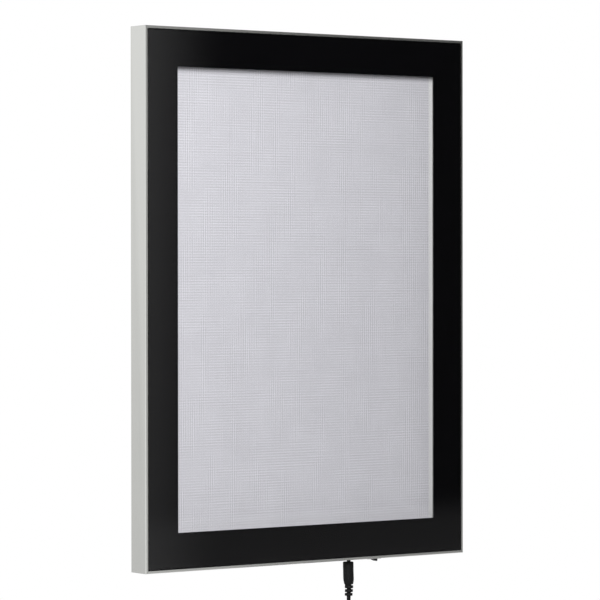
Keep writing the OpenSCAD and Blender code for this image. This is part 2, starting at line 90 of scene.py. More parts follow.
camera = bpy.data.objects.new("photo_camera", bpy.data.cameras.new("photo_camera"))
camera.data.lens, camera.data.sensor_width = FOCAL_MM, SENSOR_MM
camera.matrix_world = Matrix(stance.tolist())
scene.collection.objects.link(camera)
scene.camera = camera
scene.view_settings.view_transform = "Standard"
scene.cycles.transparent_max_bounces = CLEAR_FACES
print("Camera", round(float(np.linalg.norm(CAMERA_AT)), 3), "m from the box")

# %% [markdown]
# ## From a grid of points to a closed mesh
# Each new piece is a grid: rows run along it and columns run round it. Bmesh operators could grow
# the same forms step by step, but a formula over whole arrays shows the shape at a glance and is
# quick. One helper turns any such grid into a closed shell and maps it, so the finishes that follow
# a surface, such as a weave, have something to hold on to.

# %% Closed shells and soft rectangles
CREASE = np.radians(32)


def closed_shells(name, grids, hoop=False):
    """Mesh object from one grid, or several, of rows x columns x 3 points.

    A quad joins point (i, j) to (i, j + 1), (i + 1, j + 1) and (i + 1, j). The last column joins
    the first, and a fan from the mean of the first and of the last row closes the two ends. In a
    hoop the last row joins the first instead. A corner is mapped to its share of the way round and
    its share of the way along. A negative enclosed volume turns all faces round, and edges that bend
    by more than the crease angle stay sharp.
    """
    grids = np.asarray(grids, float)
    grids = grids[None] if grids.ndim == 3 else grids
    count, rows, cols, _ = grids.shape
    ends = grids[:, [] if hoop else [0, -1]].mean(axis=2)
    points = np.concatenate([grids.reshape(count, -1, 3), ends], axis=1)
    spans = rows if hoop else rows - 1
    i, j = (a.ravel() for a in np.meshgrid(np.arange(spans), np.arange(cols), indexing="ij"))
    along, around = np.stack([i, i, i + 1, i + 1], -1), np.stack([j, j + 1, j + 1, j], -1)
    quads = along % rows * cols + around % cols
    k = np.arange(cols)
    first = np.stack([np.full(cols, rows * cols), (k + 1) % cols, k], -1)
    last = np.stack([np.full(cols, rows * cols + 1), k, (k + 1) % cols], -1)
    last[:, 1:] += (rows - 1) * cols
    quad_map = np.stack([around / cols, along / spans], -1)
    fan_along = np.repeat([0.0, 1.0], cols)[:, None] * np.ones(3)
    fan_map = np.stack([np.full((2 * cols, 3), 0.5), fan_along], -1)
    fans, fan_map = (a[:0] if hoop else a for a in (np.concatenate([first, last]), fan_map))
    tri = np.concatenate([quads[:, [0, 1, 2]], quads[:, [0, 2, 3]], fans])
    a, b, c = (points[0][tri[:, n]] - points[0].mean(axis=0) for n in range(3))
    if np.einsum("ij,ij->", a, np.cross(b, c)) < 0:
        quads, fans = quads[:, ::-1], fans[:, ::-1]
        quad_map, fan_map = quad_map[:, ::-1], fan_map[:, ::-1]
    shift = (np.arange(count) * points.shape[1])[:, None, None]
    faces = (quads + shift).reshape(-1, 4).tolist() + (fans + shift).reshape(-1, 3).tolist()
    mesh = bpy.data.meshes.new(name)
    mesh.from_pydata(points.reshape(-1, 3).tolist(), [], faces)
    places = np.concatenate([np.tile(part.reshape(-1, 2), (count, 1)) for part in (quad_map, fan_map)])
    mesh.uv_layers.new(name="along").data.foreach_set("uv", places.astype(np.float32).ravel())
    mesh.polygons.foreach_set("use_smooth", np.ones(len(faces), bool))
    mesh.update()
    mesh.set_sharp_from_angle(angle=CREASE)
    piece = bpy.data.objects.new(name, mesh)
    scene.collection.objects.link(piece)
    print(name, len(faces), "faces")
    return piece


def soft_rectangle(half_a, half_b, radius, steps):
    """Points round a rectangle with round corners: each corner is a quarter circle whose centre
    lies one radius inside both sides. Sizes may be columns of numbers, one row for each ring."""
    angle = (np.arange(4)[:, None] * np.pi / 2 + np.linspace(0, np.pi / 2, steps)).ravel()
    side_a, side_b = np.repeat([1, -1, -1, 1], steps), np.repeat([1, 1, -1, -1], steps)
    return (side_a * (half_a - radius) + radius * np.cos(angle),
            side_b * (half_b - radius) + radius * np.sin(angle))


def eased(share):
    """Smooth rise from 0 to 1: three times the square less twice the cube of the share."""
    share = np.clip(share, 0, 1)
    return share * share * (3 - 2 * share)


# %% [markdown]
# ## Lead
# The lead is a thin round cord between the moulded plug and the plug-in adapter. Only its first
# few millimetres are in the picture, so the rest hangs put away below it: a flat coil of four
# layers with three turns each. A hand drawn curve would do, but the coil has a simple rule, so the
# route is worked out and a ring of points is carried along it.

# %% Cord route and tube
LEAD_X, LEAD_Y, CORD_D, CORD_SIDES = 53.6, -10.5, 3.2, 14
CORD_TOP, COIL_Z, STUB, TAIL, IN_HOUSING = -273.4, -314.4, 6.4, 26.0, 20.0
COIL_R, COIL_STEP, TURNS, LAYERS = 24.0, 3.7, 3, 4
COIL_HALF = COIL_STEP * (LAYERS - 1) / 2
COIL_BACK, COIL_FRONT, ADAPTER_Y = LEAD_Y + COIL_HALF, LEAD_Y - COIL_HALF, -11.6
COIL_X = LEAD_X + COIL_R
SWAY_FROM, SWAY_OVER = 0.12, 0.72


def drop(y_from, y_to, z_from, length, steps=22):
    """Free stretch that hangs straight down and eases sideways in its middle part."""
    share = np.linspace(0, 1, steps)
    y = y_from + (y_to - y_from) * eased((share - SWAY_FROM) / SWAY_OVER)
    return np.stack([np.full(steps, LEAD_X), y, z_from - length * share], -1)


def coil(per_turn=36):
    """Coil in the plane of the wall: the radius swings in and out by one cord for each turn, and
    half a turn at each reversal carries the cord one layer forward."""
    turn = np.arange(TURNS * LAYERS * per_turn + 1) / per_turn
    radius = COIL_R - COIL_STEP * np.abs((turn + TURNS) % (2 * TURNS) - TURNS)
    layer = sum(eased((turn - TURNS * k + 0.25) / 0.5) for k in range(1, LAYERS))
    return np.stack([COIL_X - radius * np.cos(2 * np.pi * turn), COIL_BACK - COIL_STEP * layer,
                     COIL_Z - radius * np.sin(2 * np.pi * turn)], -1)


def tube(path, radius, sides):
    """Ring of points carried along a path: each ring lies across the path's direction, turned so
    that its first point looks as far back as it can."""
    way = np.gradient(path, axis=0)
    way /= np.linalg.norm(way, axis=1, keepdims=True)
    one = np.array([0.0, 1.0, 0.0]) - way[:, 1:2] * way
    one /= np.linalg.norm(one, axis=1, keepdims=True)
    two = np.cross(way, one)
    turn = np.linspace(0, 2 * np.pi, sides, endpoint=False)[:, None]
    return path[:, None] + radius * (np.cos(turn) * one[:, None] + np.sin(turn) * two[:, None])


stub_share = np.linspace(0, 1, 5)[1:-1, None]
inside_share = np.linspace(0, 1, 6)[1:, None]
coil_points = coil()
cord_path = np.concatenate([
    drop(LEAD_Y, COIL_BACK, CORD_TOP, CORD_TOP - COIL_Z - STUB),
    coil_points[0] + (1 - stub_share) * [0, 0, STUB],
    coil_points,
    coil_points[-1] - stub_share * [0, 0, STUB],
    drop(COIL_FRONT, ADAPTER_Y, COIL_Z - STUB, TAIL),
    [LEAD_X, ADAPTER_Y, COIL_Z - STUB - TAIL] - inside_share * [0, 0, IN_HOUSING]]) * MM
cord_length = float(np.linalg.norm(np.diff(cord_path, axis=0), axis=1).sum())
lead_cord = closed_shells("lead_cord", tube(cord_path, CORD_D / 2 * MM, CORD_SIDES))
print("Cord length", round(cord_length, 4), "m")

# %% [markdown]
# ## Strap
# A woven hook and loop strap keeps the coil together. A plain band would look welded, so this one
# is a flat ribbon that goes a little more than once round the bundle and climbs over its own start.

# %% Strap
STRAP_W, STRAP_T, STRAP_EDGE, STRAP_TURNS = 6.0, 0.95, 0.3, 1.22
STRAP_ROWS, STRAP_START = 190, 20
LAP_FROM, LAP_OVER, LAP_LIFT = 0.88, 0.1, 1.08 * STRAP_T
BUNDLE_HALF_X, BUNDLE_HALF_Y, BUNDLE_SOFT, BUNDLE_IN = 8.25, 8.05, 2.2, 18.25


def strap():
    """Flat section carried round a soft rectangle for a little over one turn. Near the end of the
    first turn the ribbon eases outwards by a bit more than its thickness, so its end lies over its
    start."""
    outline = np.stack(soft_rectangle(BUNDLE_HALF_X, BUNDLE_HALF_Y, BUNDLE_SOFT, 12), -1)
    loop = np.roll(outline, STRAP_START, axis=0)
    loop = np.concatenate([loop, loop[:1]])
    run = np.concatenate([[0], np.linalg.norm(np.diff(loop, axis=0), axis=1).cumsum()])
    share = np.linspace(0, STRAP_TURNS, STRAP_ROWS)
    x, y = (np.interp((share % 1) * run[-1], run, loop[:, n]) for n in range(2))
    way = np.gradient(np.stack([x, y], -1), axis=0)
    way /= np.linalg.norm(way, axis=1, keepdims=True)
    out = np.stack([way[:, 1], -way[:, 0]], -1)
    lift = LAP_LIFT * eased((share - LAP_FROM) / LAP_OVER)
    thick, wide = soft_rectangle(STRAP_T / 2, STRAP_W / 2, STRAP_EDGE, 4)
    flat = np.stack([x, y], -1)[:, None] + out[:, None] * (lift[:, None, None] + thick[:, None])
    tall = np.broadcast_to(wide, flat.shape[:2])
    return np.concatenate([flat, tall[..., None]], -1) + [COIL_X - BUNDLE_IN, LEAD_Y, COIL_Z]


lead_strap = closed_shells("lead_strap", strap() * MM)

# %% [markdown]
# ## Moulded plug
# The plug is moulded on the end of the cord: a grip with a soft shoulder and a slight waist that
# narrows at its lower end, a neck set to one side, three rings on a slim core that let the cord bend,
# and a thin sleeve that runs out on the cord. A lathe modifier could spin a curve, but a profile times
# a circle says the same in one line and leaves room for the lean and for two fine mould seams.

# %% Plug
PLUG_TOP, PLUG_SIDES = -242.9, 64
GRIP = [(-0.25, 0.6), (-0.25, 4.2), (-0.16, 4.5), (0.08, 4.75), (0.6, 4.9), (4.0, 4.9), (8.5, 4.83),
        (13.0, 4.9), (15.6, 4.88), (17.6, 4.68), (19.3, 4.34), (20.2, 4.15), (20.5, 3.9), (20.6, 3.5)]
NECK = [(20.65, 3.0), (21.45, 3.0)]
CORE_R = 1.95
RINGS = [(21.65, 24.05, 3.9), (25.2, 27.6, 3.72), (28.65, 31.0, 3.6)]
RING_CORNER = [(0.0, 0.32), (0.1, 0.1), (0.32, 0.0)]
SLEEVE = [(31.1, 1.84), (35.5, 1.76), (36.0, 1.62)]
LEAN_DEPTH = [0.0, 4.0, 13.0, 18.5, 20.6, 20.65, 21.45, 21.65, 26.0, 29.8, 31.1, 36.0]
LEAN_X = [-0.52, -0.48, -0.22, 0.02, 0.08, -0.65, -0.65, 0.4, 0.36, -0.08, 0.0, 0.0]
SEAM_H, SEAM_W, SEAM_TURN, SEAM_LEAST_R = 0.05, 0.06, 0.3, 2.5


def ring_edge(top, bottom, radius):
    """Edge of one ring, from the core out over two soft corners and back to the core."""
    upper = [(top + down, radius - cut) for down, cut in RING_CORNER]
    lower = [(bottom - up, radius - cut) for up, cut in RING_CORNER[::-1]]
    return [(top, CORE_R), *upper, *lower, (bottom, CORE_R)]


def plug():
    """Profile spun about the cord's line: radius by depth below the shoulder. Each ring rises from
    the core, and a narrow ridge at two opposite places is the mould seam. The soft body leans: its
    middle line moves sideways by a fraction of a millimetre with the depth, most at the neck."""
    rings = [point for row in RINGS for point in ring_edge(*row)]
    depth, radius = np.array(GRIP + NECK + rings + SLEEVE).T
    middle_x = LEAD_X + np.interp(depth, LEAN_DEPTH, LEAN_X)[:, None]
    turn = np.linspace(0, 2 * np.pi, PLUG_SIDES, endpoint=False)
    seam = SEAM_H * np.exp(-(np.sin(turn - SEAM_TURN) / SEAM_W) ** 2) * (radius > SEAM_LEAST_R)[:, None]
    spread = radius[:, None] + seam
    return np.stack([middle_x + spread * np.cos(turn), LEAD_Y + spread * np.sin(turn),
                     np.broadcast_to((PLUG_TOP - depth)[:, None], spread.shape)], -1)


plug_grip = closed_shells("plug_grip", plug() * MM)

# %% [markdown]
# ## Rocker
# The rocker is a small black wedge with two wings that meet in a shallow valley. Its solid is cut with
# sharp edges, and a moulded one has soft corners and a finger dish in each wing. A cube could be
# bevelled and dented by hand; here one section, given by seven corners, is carried along the pivot.

# %% Rocker
PIVOT = [80.0, -10.5, -238.5]
PIN_R, PIN_HALF, PIN_EDGE, ROCKER_HALF, ROCKER_EDGE = 1.0, 3.68, 0.15, 3.0, 0.3
BODY_ROWS, BODY_SHARE = 12, 0.84
ROCKER_TURN, WING_X, WING_LOW, VALLEY_LOW = np.radians(12), 5.52, 4.12, 2.98
ROCKER_CORNERS = [(0, -VALLEY_LOW, 1.6), (WING_X, -WING_LOW, 0.3), (5.4, -0.6, 0.3), (2.4, 1.6, 0.3),
                  (-2.4, 1.6, 0.3), (-5.4, -0.6, 0.3), (-WING_X, -WING_LOW, 0.3)]
DISH_DEEP, DISH_X, DISH_W, DISH_HALF, DISH_BELOW = 0.16, 3.3, 1.1, 2.6, -2.6


def rocker():
    """Section with each corner cut back by a given length and rounded by a curve of second order,
    with straight steps between. Rows along the pivot are pins, then soft ends, then the body. A
    shallow dish sinks into each wing, as a bell across and a parabola along the pivot."""
    corner, cut = np.array(ROCKER_CORNERS)[:, :2], np.array(ROCKER_CORNERS)[:, 2:]
    back, on = np.roll(corner, 1, axis=0) - corner, np.roll(corner, -1, axis=0) - corner
    enter = corner + cut * back / np.linalg.norm(back, axis=1, keepdims=True)
    leave = corner + cut * on / np.linalg.norm(on, axis=1, keepdims=True)
    t = np.linspace(0, 1, 7)[:, None, None]
    curve = (1 - t) ** 2 * enter + 2 * t * (1 - t) * corner + t ** 2 * leave
    straight = leave + np.linspace(0, 1, 12)[1:-1, None, None] * (np.roll(enter, -1, axis=0) - leave)
    section = np.concatenate([curve, straight]).transpose(1, 0, 2).reshape(-1, 2)
    far = np.linalg.norm(section, axis=1)
    bend = np.linspace(0, np.pi / 2, 6)
    soft_ends = ROCKER_HALF - ROCKER_EDGE * (1 - np.cos(bend))
    ends = np.concatenate([soft_ends, np.linspace(BODY_SHARE, 0, BODY_ROWS) * ROCKER_HALF])
    inset = np.concatenate([ROCKER_EDGE * (1 - np.sin(bend)), np.zeros(BODY_ROWS)])
    pin_y = [PIN_HALF, PIN_HALF, PIN_HALF - PIN_EDGE, ROCKER_HALF]
    pin = np.array([0.2, PIN_R - PIN_EDGE, PIN_R, PIN_R])
    size = np.concatenate([pin[:, None] / far, 1 - inset[:, None] / far])
    y = np.concatenate([pin_y, ends])
    size, y = np.concatenate([size, size[-2::-1]]), np.concatenate([y, -y[-2::-1]])[:, None]
    a, b = size * section[:, 0], size * section[:, 1]
    across = np.exp(-((np.abs(a) - DISH_X) / DISH_W) ** 2) * (b < DISH_BELOW)
    b = b + DISH_DEEP * (across * np.clip(1 - (y / DISH_HALF) ** 2, 0, 1))
    cos, sin = np.cos(ROCKER_TURN), np.sin(ROCKER_TURN)
    return np.stack([a * cos + b * sin, np.broadcast_to(y, a.shape), b * cos - a * sin], -1) + PIVOT


rocker_cap = closed_shells("rocker_cap", rocker() * MM)

# %% [markdown]
# ## Adapter housing
# The plug-in adapter hangs at the far end of the lead. Its housing is a block with soft corners, made
# of a case and a cap that meet in a fine groove, with finger grooves on the two narrow sides. A cube
# with a bevel would lack the grooves; here the inset of each ring of the block holds them all.

# %% Adapter
ADAPTER_TOP, ADAPTER_LOW, ADAPTER_SPLIT = -362.8, -420.8, -404.8
ADAPTER_W, ADAPTER_T, ADAPTER_SOFT = 34.0, 22.0, 4.0
GROOVE_DEEP, GROOVE_W = 0.4, 0.3
WAVES, WAVE_DEEP, WAVE_LOW, WAVE_TALL = 5, 0.55, -393.0, 15.0
WAVE_HALF_Y, WAVE_FADE_Y, WAVE_FROM_X, WAVE_FADE_X = 7.4, 1.2, 14.0, 2.0


def adapter():
    """Soft rectangles stacked along Z. Near both ends a ring moves in by the soft radius times one
    less cosine; at the split it moves in along a bell curve; on the narrow sides five shallow
    waves press in towards the middle of the block."""
    bend = np.linspace(np.pi / 2 - 0.02, 0, 12)
    middle = np.linspace(ADAPTER_TOP - ADAPTER_SOFT, ADAPTER_LOW + ADAPTER_SOFT, 230)[1:-1]
    rim = ADAPTER_SOFT * (1 - np.sin(bend))
    z = np.concatenate([ADAPTER_TOP - rim, middle, (ADAPTER_LOW + rim)[::-1]])
    end_inset = ADAPTER_SOFT * (1 - np.cos(bend))
    groove = GROOVE_DEEP * np.exp(-((z - ADAPTER_SPLIT) / GROOVE_W) ** 2)
    inset = np.concatenate([end_inset, 0 * middle, end_inset[::-1]]) + groove
    x, y = soft_rectangle((ADAPTER_W / 2 - inset)[:, None], (ADAPTER_T / 2 - inset)[:, None],
                          np.maximum(ADAPTER_SOFT - inset, 0.08)[:, None], 14)
    wave = np.sin(np.pi * np.clip((z - WAVE_LOW) / WAVE_TALL, 0, 1) * WAVES) ** 2
    narrow = eased((WAVE_HALF_Y - np.abs(y)) / WAVE_FADE_Y) * eased((np.abs(x) - WAVE_FROM_X) / WAVE_FADE_X)
    x = x - np.sign(x) * WAVE_DEEP * wave[:, None] * narrow
    return np.stack([LEAD_X + x, ADAPTER_Y + y, np.broadcast_to(z[:, None], x.shape)], -1)


adapter_shell = closed_shells("adapter_shell", adapter() * MM)

# %% [markdown]
# ## Clear sheets
# The front is a thin sheet of clear acrylic with a polished bevel, and the light guide behind it is a
# thick one. Something else lies right against the back of each. If two faces shared one plane the
# renderer could not tell which comes first, so a sheet ends a hair before what it touches. The front
# ends well before its solid does, because the face of the border behind it is set forward.

# %% Clear sheets
SHEET_EASE, SHEET_CORNER, CORNER_STEPS = 0.05, 0.4, 6


def sheet(solid, bevel, gap):
    """Rings of a soft rectangle from the back to the front: the side wall, a bevel of 45 degrees
    and small eased edges. Two rings close together at each end of a flat part keep it flat."""
    low, high = (np.array(corner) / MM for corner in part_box(solid))
    thick, ease = high[1] - low[1], SHEET_EASE
    inset, back = np.array([
        (3 * ease, gap), (ease, gap), (0, gap + ease), (0, gap + 2 * ease),
        (0, thick - bevel - 2 * ease), (0, thick - bevel - ease),
        (ease, thick - bevel + ease), (2 * ease, thick - bevel + 2 * ease),
        (bevel - 2 * ease, thick - 2 * ease), (bevel - ease, thick - ease),
        (bevel + ease, thick), (bevel + 2 * ease, thick)]).T
    half, middle = (high - low) / 2, (high + low) / 2
    corner_r = np.full((len(inset), 1), SHEET_CORNER)
    x, z = soft_rectangle((half[0] - inset)[:, None], (half[2] - inset)[:, None], corner_r, CORNER_STEPS)
    return np.stack([middle[0] + x, np.broadcast_to((high[1] - back)[:, None], x.shape), middle[2] + z], -1)


SHEET_BEVEL, BORDER_LIFT, HAIR = 0.4, 0.6, 0.06
FRONT_GAP, GUIDE_GAP = BORDER_LIFT + HAIR, HAIR
clear_front = closed_shells("clear_front", sheet("cover_pane", SHEET_BEVEL, FRONT_GAP) * MM)
guide_plate = closed_shells("guide_plate", sheet("light_guide", SHEET_BEVEL, GUIDE_GAP) * MM)

# %% [markdown]
# ## Border sheet
# A thin black sheet with the sight opening lies against the back of the clear front. Acrylic bends
# light, so what touches its back is seen about two fifths of its thickness nearer. The finish of the
# front does not bend light, so the face of this sheet is set forward by that much instead. Its
# opening is undercut, which keeps the cut edge out of sight as the thin edge of the real one is.

# %% Border sheet
SIGHT_W, SIGHT_H, SIGHT_LOW, UNDERCUT, BORDER_CORNER = 287.0, 410.6, 0.3, 1.4, 0.3


def border_ring():
    """Four soft rectangles joined into a hoop: the outline at the back and at the front, the opening
    at the front, and the opening at the back, which is wider by the undercut."""
    low, high = (np.array(corner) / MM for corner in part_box("cover_mask"))
    outer, sight = (high - low)[[0, 2]] / 2, np.array([SIGHT_W, SIGHT_H]) / 2
    half = np.array([outer, outer, sight, sight + UNDERCUT])
    drop_z = np.array([0, 0, SIGHT_LOW, SIGHT_LOW])[:, None]
    face, back = low[1] - BORDER_LIFT, high[1]
    x, z = soft_rectangle(half[:, :1], half[:, 1:], np.full((4, 1), BORDER_CORNER), CORNER_STEPS)
    y = np.array([back, face, face, back])[:, None]
    return np.stack([x, np.broadcast_to(y, x.shape), z - drop_z], -1)


border_sheet = closed_shells("border_sheet", border_ring() * MM, hoop=True)

# %% [markdown]
# ## Countersunk screws
# Ten screws hold the back panel and eight hold the corner keys. The solids are plain cones, so each
# gets a head with a cross recess. Cutting crosses with booleans is slow and leaves ragged faces;
# pressing the recess into the rings of the head as a formula keeps every screw clean.

# %% Screws
_, back_high = (np.array(corner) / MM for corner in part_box("back_screws"))
corner_low, corner_high = (np.array(corner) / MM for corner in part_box("corner_screws"))
FACE_SINK, HEAD_RINGS, SCREW_SIDES = 0.03, 15, 48
CROSS_DEEP, CROSS_FALL, ARM_HALF, ARM_SOFT = 1.25, 0.62, 0.22, 0.2


def screws(places, face_y, inward, head, shank, length):
    """Profile spun about Y at each place: tip, shank, cone and head rings. Inside the head the depth
    of the cross falls off with the radius and with the distance from the nearer arm."""
    cone = (head - shank) / 2
    rim = np.array([(length, 0.3), (length, shank / 2 - 0.45), (length - 0.5, shank / 2), (cone, shank / 2),
                    (0.1, head / 2 - 0.06), (FACE_SINK, head / 2 - 0.1)])
    flat = np.linspace(head / 2 - 0.2, 0.12, HEAD_RINGS)
    depth = np.concatenate([rim[:, 0], np.full(HEAD_RINGS, FACE_SINK)])[:, None]
    radius = np.concatenate([rim[:, 1], flat])[:, None]
    turn = np.linspace(0, 2 * np.pi, SCREW_SIDES, endpoint=False)
    a, b = radius * np.cos(turn), radius * np.sin(turn)
    arm = np.minimum(np.abs(a), np.abs(b))
    cross = np.clip(CROSS_DEEP - CROSS_FALL * radius, 0, 1) * (1 - eased((arm - ARM_HALF) / ARM_SOFT))
    cross[:len(rim)] = 0
    y = face_y + inward * (depth + cross)
    one = np.stack([a, y, b], -1)
    spots = np.array([(x, 0, z) for x, z in places])
    return one[None] + spots[:, None, None]


def mirrored(pairs):
    """Each place in all four quarters, or on both sides only where its height is nought."""
    return sorted({(sx * x, sz * z) for x, z in pairs for sx in (-1, 1) for sz in (-1, 1)})


HALF_W, HALF_H = 178.5, 240.0
BACK_HEAD, BACK_SHANK, BACK_LONG, BACK_IN = 5.6, 2.9, 5.0, 60
KEY_HEAD, KEY_SHANK, KEY_LONG, KEY_IN = 6.4, 3.4, 11.0, 30
back_x, back_z = back_high[0] - BACK_HEAD / 2, back_high[2] - BACK_HEAD / 2
corner_x, corner_z = corner_high[0] - KEY_HEAD / 2, corner_high[2] - KEY_HEAD / 2
back_places = mirrored([(HALF_W - BACK_IN, back_z), (back_x, HALF_H - BACK_IN), (back_x, 0.0)])
corner_places = mirrored([(HALF_W - KEY_IN, corner_z), (corner_x, HALF_H - KEY_IN)])
back_points = screws(back_places, back_high[1], -1, BACK_HEAD, BACK_SHANK, BACK_LONG)
key_points = screws(corner_places, corner_low[1], 1, KEY_HEAD, KEY_SHANK, KEY_LONG)
panel_screws = closed_shells("panel_screws", back_points * MM)
key_screws = closed_shells("key_screws", key_points * MM)
print(len(back_places), "panel screws and", len(corner_places), "key screws")

# %% [markdown]
# ## Sums on shader sockets
# A finish is a small sum over coordinates and noise, and a web of linked boxes hides that sum. The
# class below wraps a socket so that Python's own operators add the Math nodes. Every other node
# comes from its one method, which takes the kind of node, its settings and its sockets.

# %% Shader sums
class Wire:
    """A shader socket that can be added, subtracted, multiplied, divided and raised."""

    def __init__(self, tree, socket=None):
        self.tree, self.socket = tree, socket

    def node(self, kind, settings=None, sockets=None, out=0):
        made = self.tree.nodes.new("ShaderNode" + kind)
        for key, value in (settings or {}).items():
            setattr(made, key, value)
        for key, value in (sockets or {}).items():
            if isinstance(value, Wire):
                self.tree.links.new(value.socket, made.inputs[key])
            else:
                made.inputs[key].default_value = value
        return Wire(self.tree, made.outputs[out] if len(made.outputs) else None)

    def sum(self, operation, first, second=0.0):
        return self.node("Math", {"operation": operation}, {0: first, 1: second})

    def __add__(self, other):
        return self.sum("ADD", self, other)

    def __sub__(self, other):
        return self.sum("SUBTRACT", self, other)

    def __rsub__(self, other):
        return self.sum("SUBTRACT", other, self)

    def __mul__(self, other):
        return self.sum("MULTIPLY", self, other)

    def __truediv__(self, other):
        return self.sum("DIVIDE", self, other)

    def __rtruediv__(self, other):
        return self.sum("DIVIDE", other, self)

    def __pow__(self, other):
        return self.sum("POWER", self, other)

    def __abs__(self):
        return self.sum("ABSOLUTE", self)

    __radd__, __rmul__ = __add__, __mul__


def rise(value, low, high):
    """0 up to low, 1 from high, smooth between; it falls where low is the greater."""
    return value.node("MapRange", {"interpolation_type": "SMOOTHSTEP"},
                      {"Value": value, "From Min": low, "From Max": high})


def blend(share, first, second):
    """First colour where the share is 0 and second where it is 1."""
    return share.node("Mix", {"data_type": "RGBA"}, {0: share, 6: first, 7: second}, out=2)


def axes(place):
    """The three parts of a place."""
    parts = place.node("SeparateXYZ", sockets={0: place}).socket.node
    return [Wire(place.tree, socket) for socket in parts.outputs]


def grain(place, stretch, detail=2.0):
    """Noise with that many features in a metre along X, Y and Z."""
    spread = place.node("VectorMath", {"operation": "MULTIPLY"}, {0: place, 1: stretch})
    return place.node("TexNoise", sockets={"Vector": spread, "Scale": 1.0, "Detail": detail})


def relief(height, distance):
    """Bump of that depth in metres."""
    return height.node("Bump", sockets={"Height": height, "Distance": distance, "Strength": 1.0})


def grey(level, tint=(1.0, 1.0, 1.0)):
    """Colour of that linear level."""
    return (*(level * t for t in tint), 1.0)


def finish(name, coordinates="Object"):
    """New material with an empty tree, and its coordinates."""
    material = bpy.data.materials.new(name)
    material.use_nodes = True
    material.node_tree.nodes.clear()
    return material, Wire(material.node_tree).node("TexCoord", out=coordinates)


def show(material, surface):
    """Joins a shader to the material's output and returns the material."""
    surface.node("OutputMaterial", sockets={"Surface": surface})
    return material


print("Shader sums ready")

# %% [markdown]
# ## Satin anodised rails
# The rails are drawn aluminium with a fine satin anodised skin. Seen close, faint lines from the die
# run along each rail, and the two rails of a corner meet in a hairline. The skin of an upright has a
# painted sheen: it is painted lighter towards the top and the front, with a slanting edge. A picture
# of brushed metal would need unwrapping; noise stretched along the rail gives the lines on any
# length, and the hairline lies where the distances to the two outer faces are the same. The shelf
# under the front is dull and painted near black as shade, so that no stray light shines out of the
# gap round the front.

# %% Rail finish
HAIRLINE, WALL_INSIDE = (0.16 * MM, 0.05 * MM), (2.1 * MM, 2.3 * MM)
SHELF_FRONT, SHELF_REAR = (-21.2 * MM, -20.6 * MM), (-17.5 * MM, -18.5 * MM)
PAINTED_SHEEN_SLANT, PAINTED_SHEEN_EDGE = 0.055, (-8.0 * MM, -18.0 * MM)


def rail_finish(name, along):
    material, place = finish(name)
    stretch = [2600.0, 2600.0, 2600.0]
    stretch[along] = 5.0
    lines = grain(place, stretch, 3.0)
    cloud = grain(place, (16.0, 16.0, 16.0))
    speck = grain(place, (5200.0, 5200.0, 5200.0), 1.0)
    x, y, z = axes(place)
    from_side, from_end = HALF_W * MM - abs(x), HALF_H * MM - abs(z)
    seam = rise(abs(from_side - from_end), *HAIRLINE)
    inward = rise(x.sum("MINIMUM", from_side, from_end), *WALL_INSIDE)
    # painted shade: the shelf in the recess under the front is painted near black
    shelf_painted_shade = inward * rise(y, *SHELF_FRONT) * rise(y, *SHELF_REAR)
    # painted sheen: the upright is painted lighter towards the top and the front
    painted_light = rise(y - PAINTED_SHEEN_SLANT * z, *PAINTED_SHEEN_EDGE) if along == 2 else 0.5
    silver_with_painted_sheen = blend(0.45 * lines + 0.25 * cloud + 0.3 * painted_light,
                   grey(0.67, (1.0, 1.008, 0.97)), grey(0.84, (1.0, 1.006, 0.975)))
    surface = place.node("BsdfPrincipled", sockets={
        "Base Color": blend(shelf_painted_shade, blend(seam * 0.8, silver_with_painted_sheen, grey(0.2)), grey(0.07)), "Metallic": 1.0,
        "Roughness": 0.12 + 0.07 * lines + 0.04 * cloud + 0.3 * shelf_painted_shade,
        "Normal": relief(lines * 0.7 + speck * 0.3, 0.000003)})
    return show(material, surface)


level_rail, upright_rail = rail_finish("satin_rail_level", 0), rail_finish("satin_rail_upright", 2)
print("Rails:", level_rail.name, upright_rail.name)

# %% [markdown]
# ## Clear acrylic
# Real acrylic bends light, but both sheets are flat, so bending would only shift what lies behind by
# a millimetre or two. A mix of a see-through shader and a mirror is cleaner: the mirror's share is
# the usual law for clear plastic, four hundredths head on and more towards the edge. The back of a
# sheet does not mirror. Its cut rim is not clear: the front's rim shows the black border that it
# touches, and the guide's rim is pale.

# %% Clear acrylic finish
def acrylic_finish(name, solid, gap, rim_level):
    material, place = finish(name)
    low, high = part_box(solid)
    x, y, z = axes(place)
    outward = x.sum("MAXIMUM", abs(x) - (high[0] - low[0]) / 2, abs(z) - (high[2] - low[2]) / 2)
    rim = rise(outward, -(SHEET_BEVEL + 0.2) * MM, -SHEET_BEVEL * MM)
    facing = place.node("LayerWeight", sockets={"Blend": 0.5}, out="Facing")
    front = rise(y, high[1] - (gap + 0.1) * MM, high[1] - (gap + 0.3) * MM)
    mirror = place.node("BsdfGlossy", sockets={"Color": grey(1.0), "Roughness": 0.035})
    clear = place.node("BsdfTransparent", sockets={"Color": grey(0.985)})
    cut = place.node("BsdfDiffuse", sockets={"Color": grey(rim_level)})
    body = place.node("MixShader", sockets={0: rim, 1: clear, 2: cut})
    share = (0.039 + 0.961 * facing ** 5) * front * (1 - 0.65 * rim)
    return show(material, place.node("MixShader", sockets={0: share, 1: body, 2: mirror}))


clear_acrylic = acrylic_finish("clear_acrylic", "cover_pane", FRONT_GAP, 0.004)
guide_acrylic = acrylic_finish("guide_acrylic", "light_guide", GUIDE_GAP, 0.5)
print("Clear sheets:", clear_acrylic.name, guide_acrylic.name)
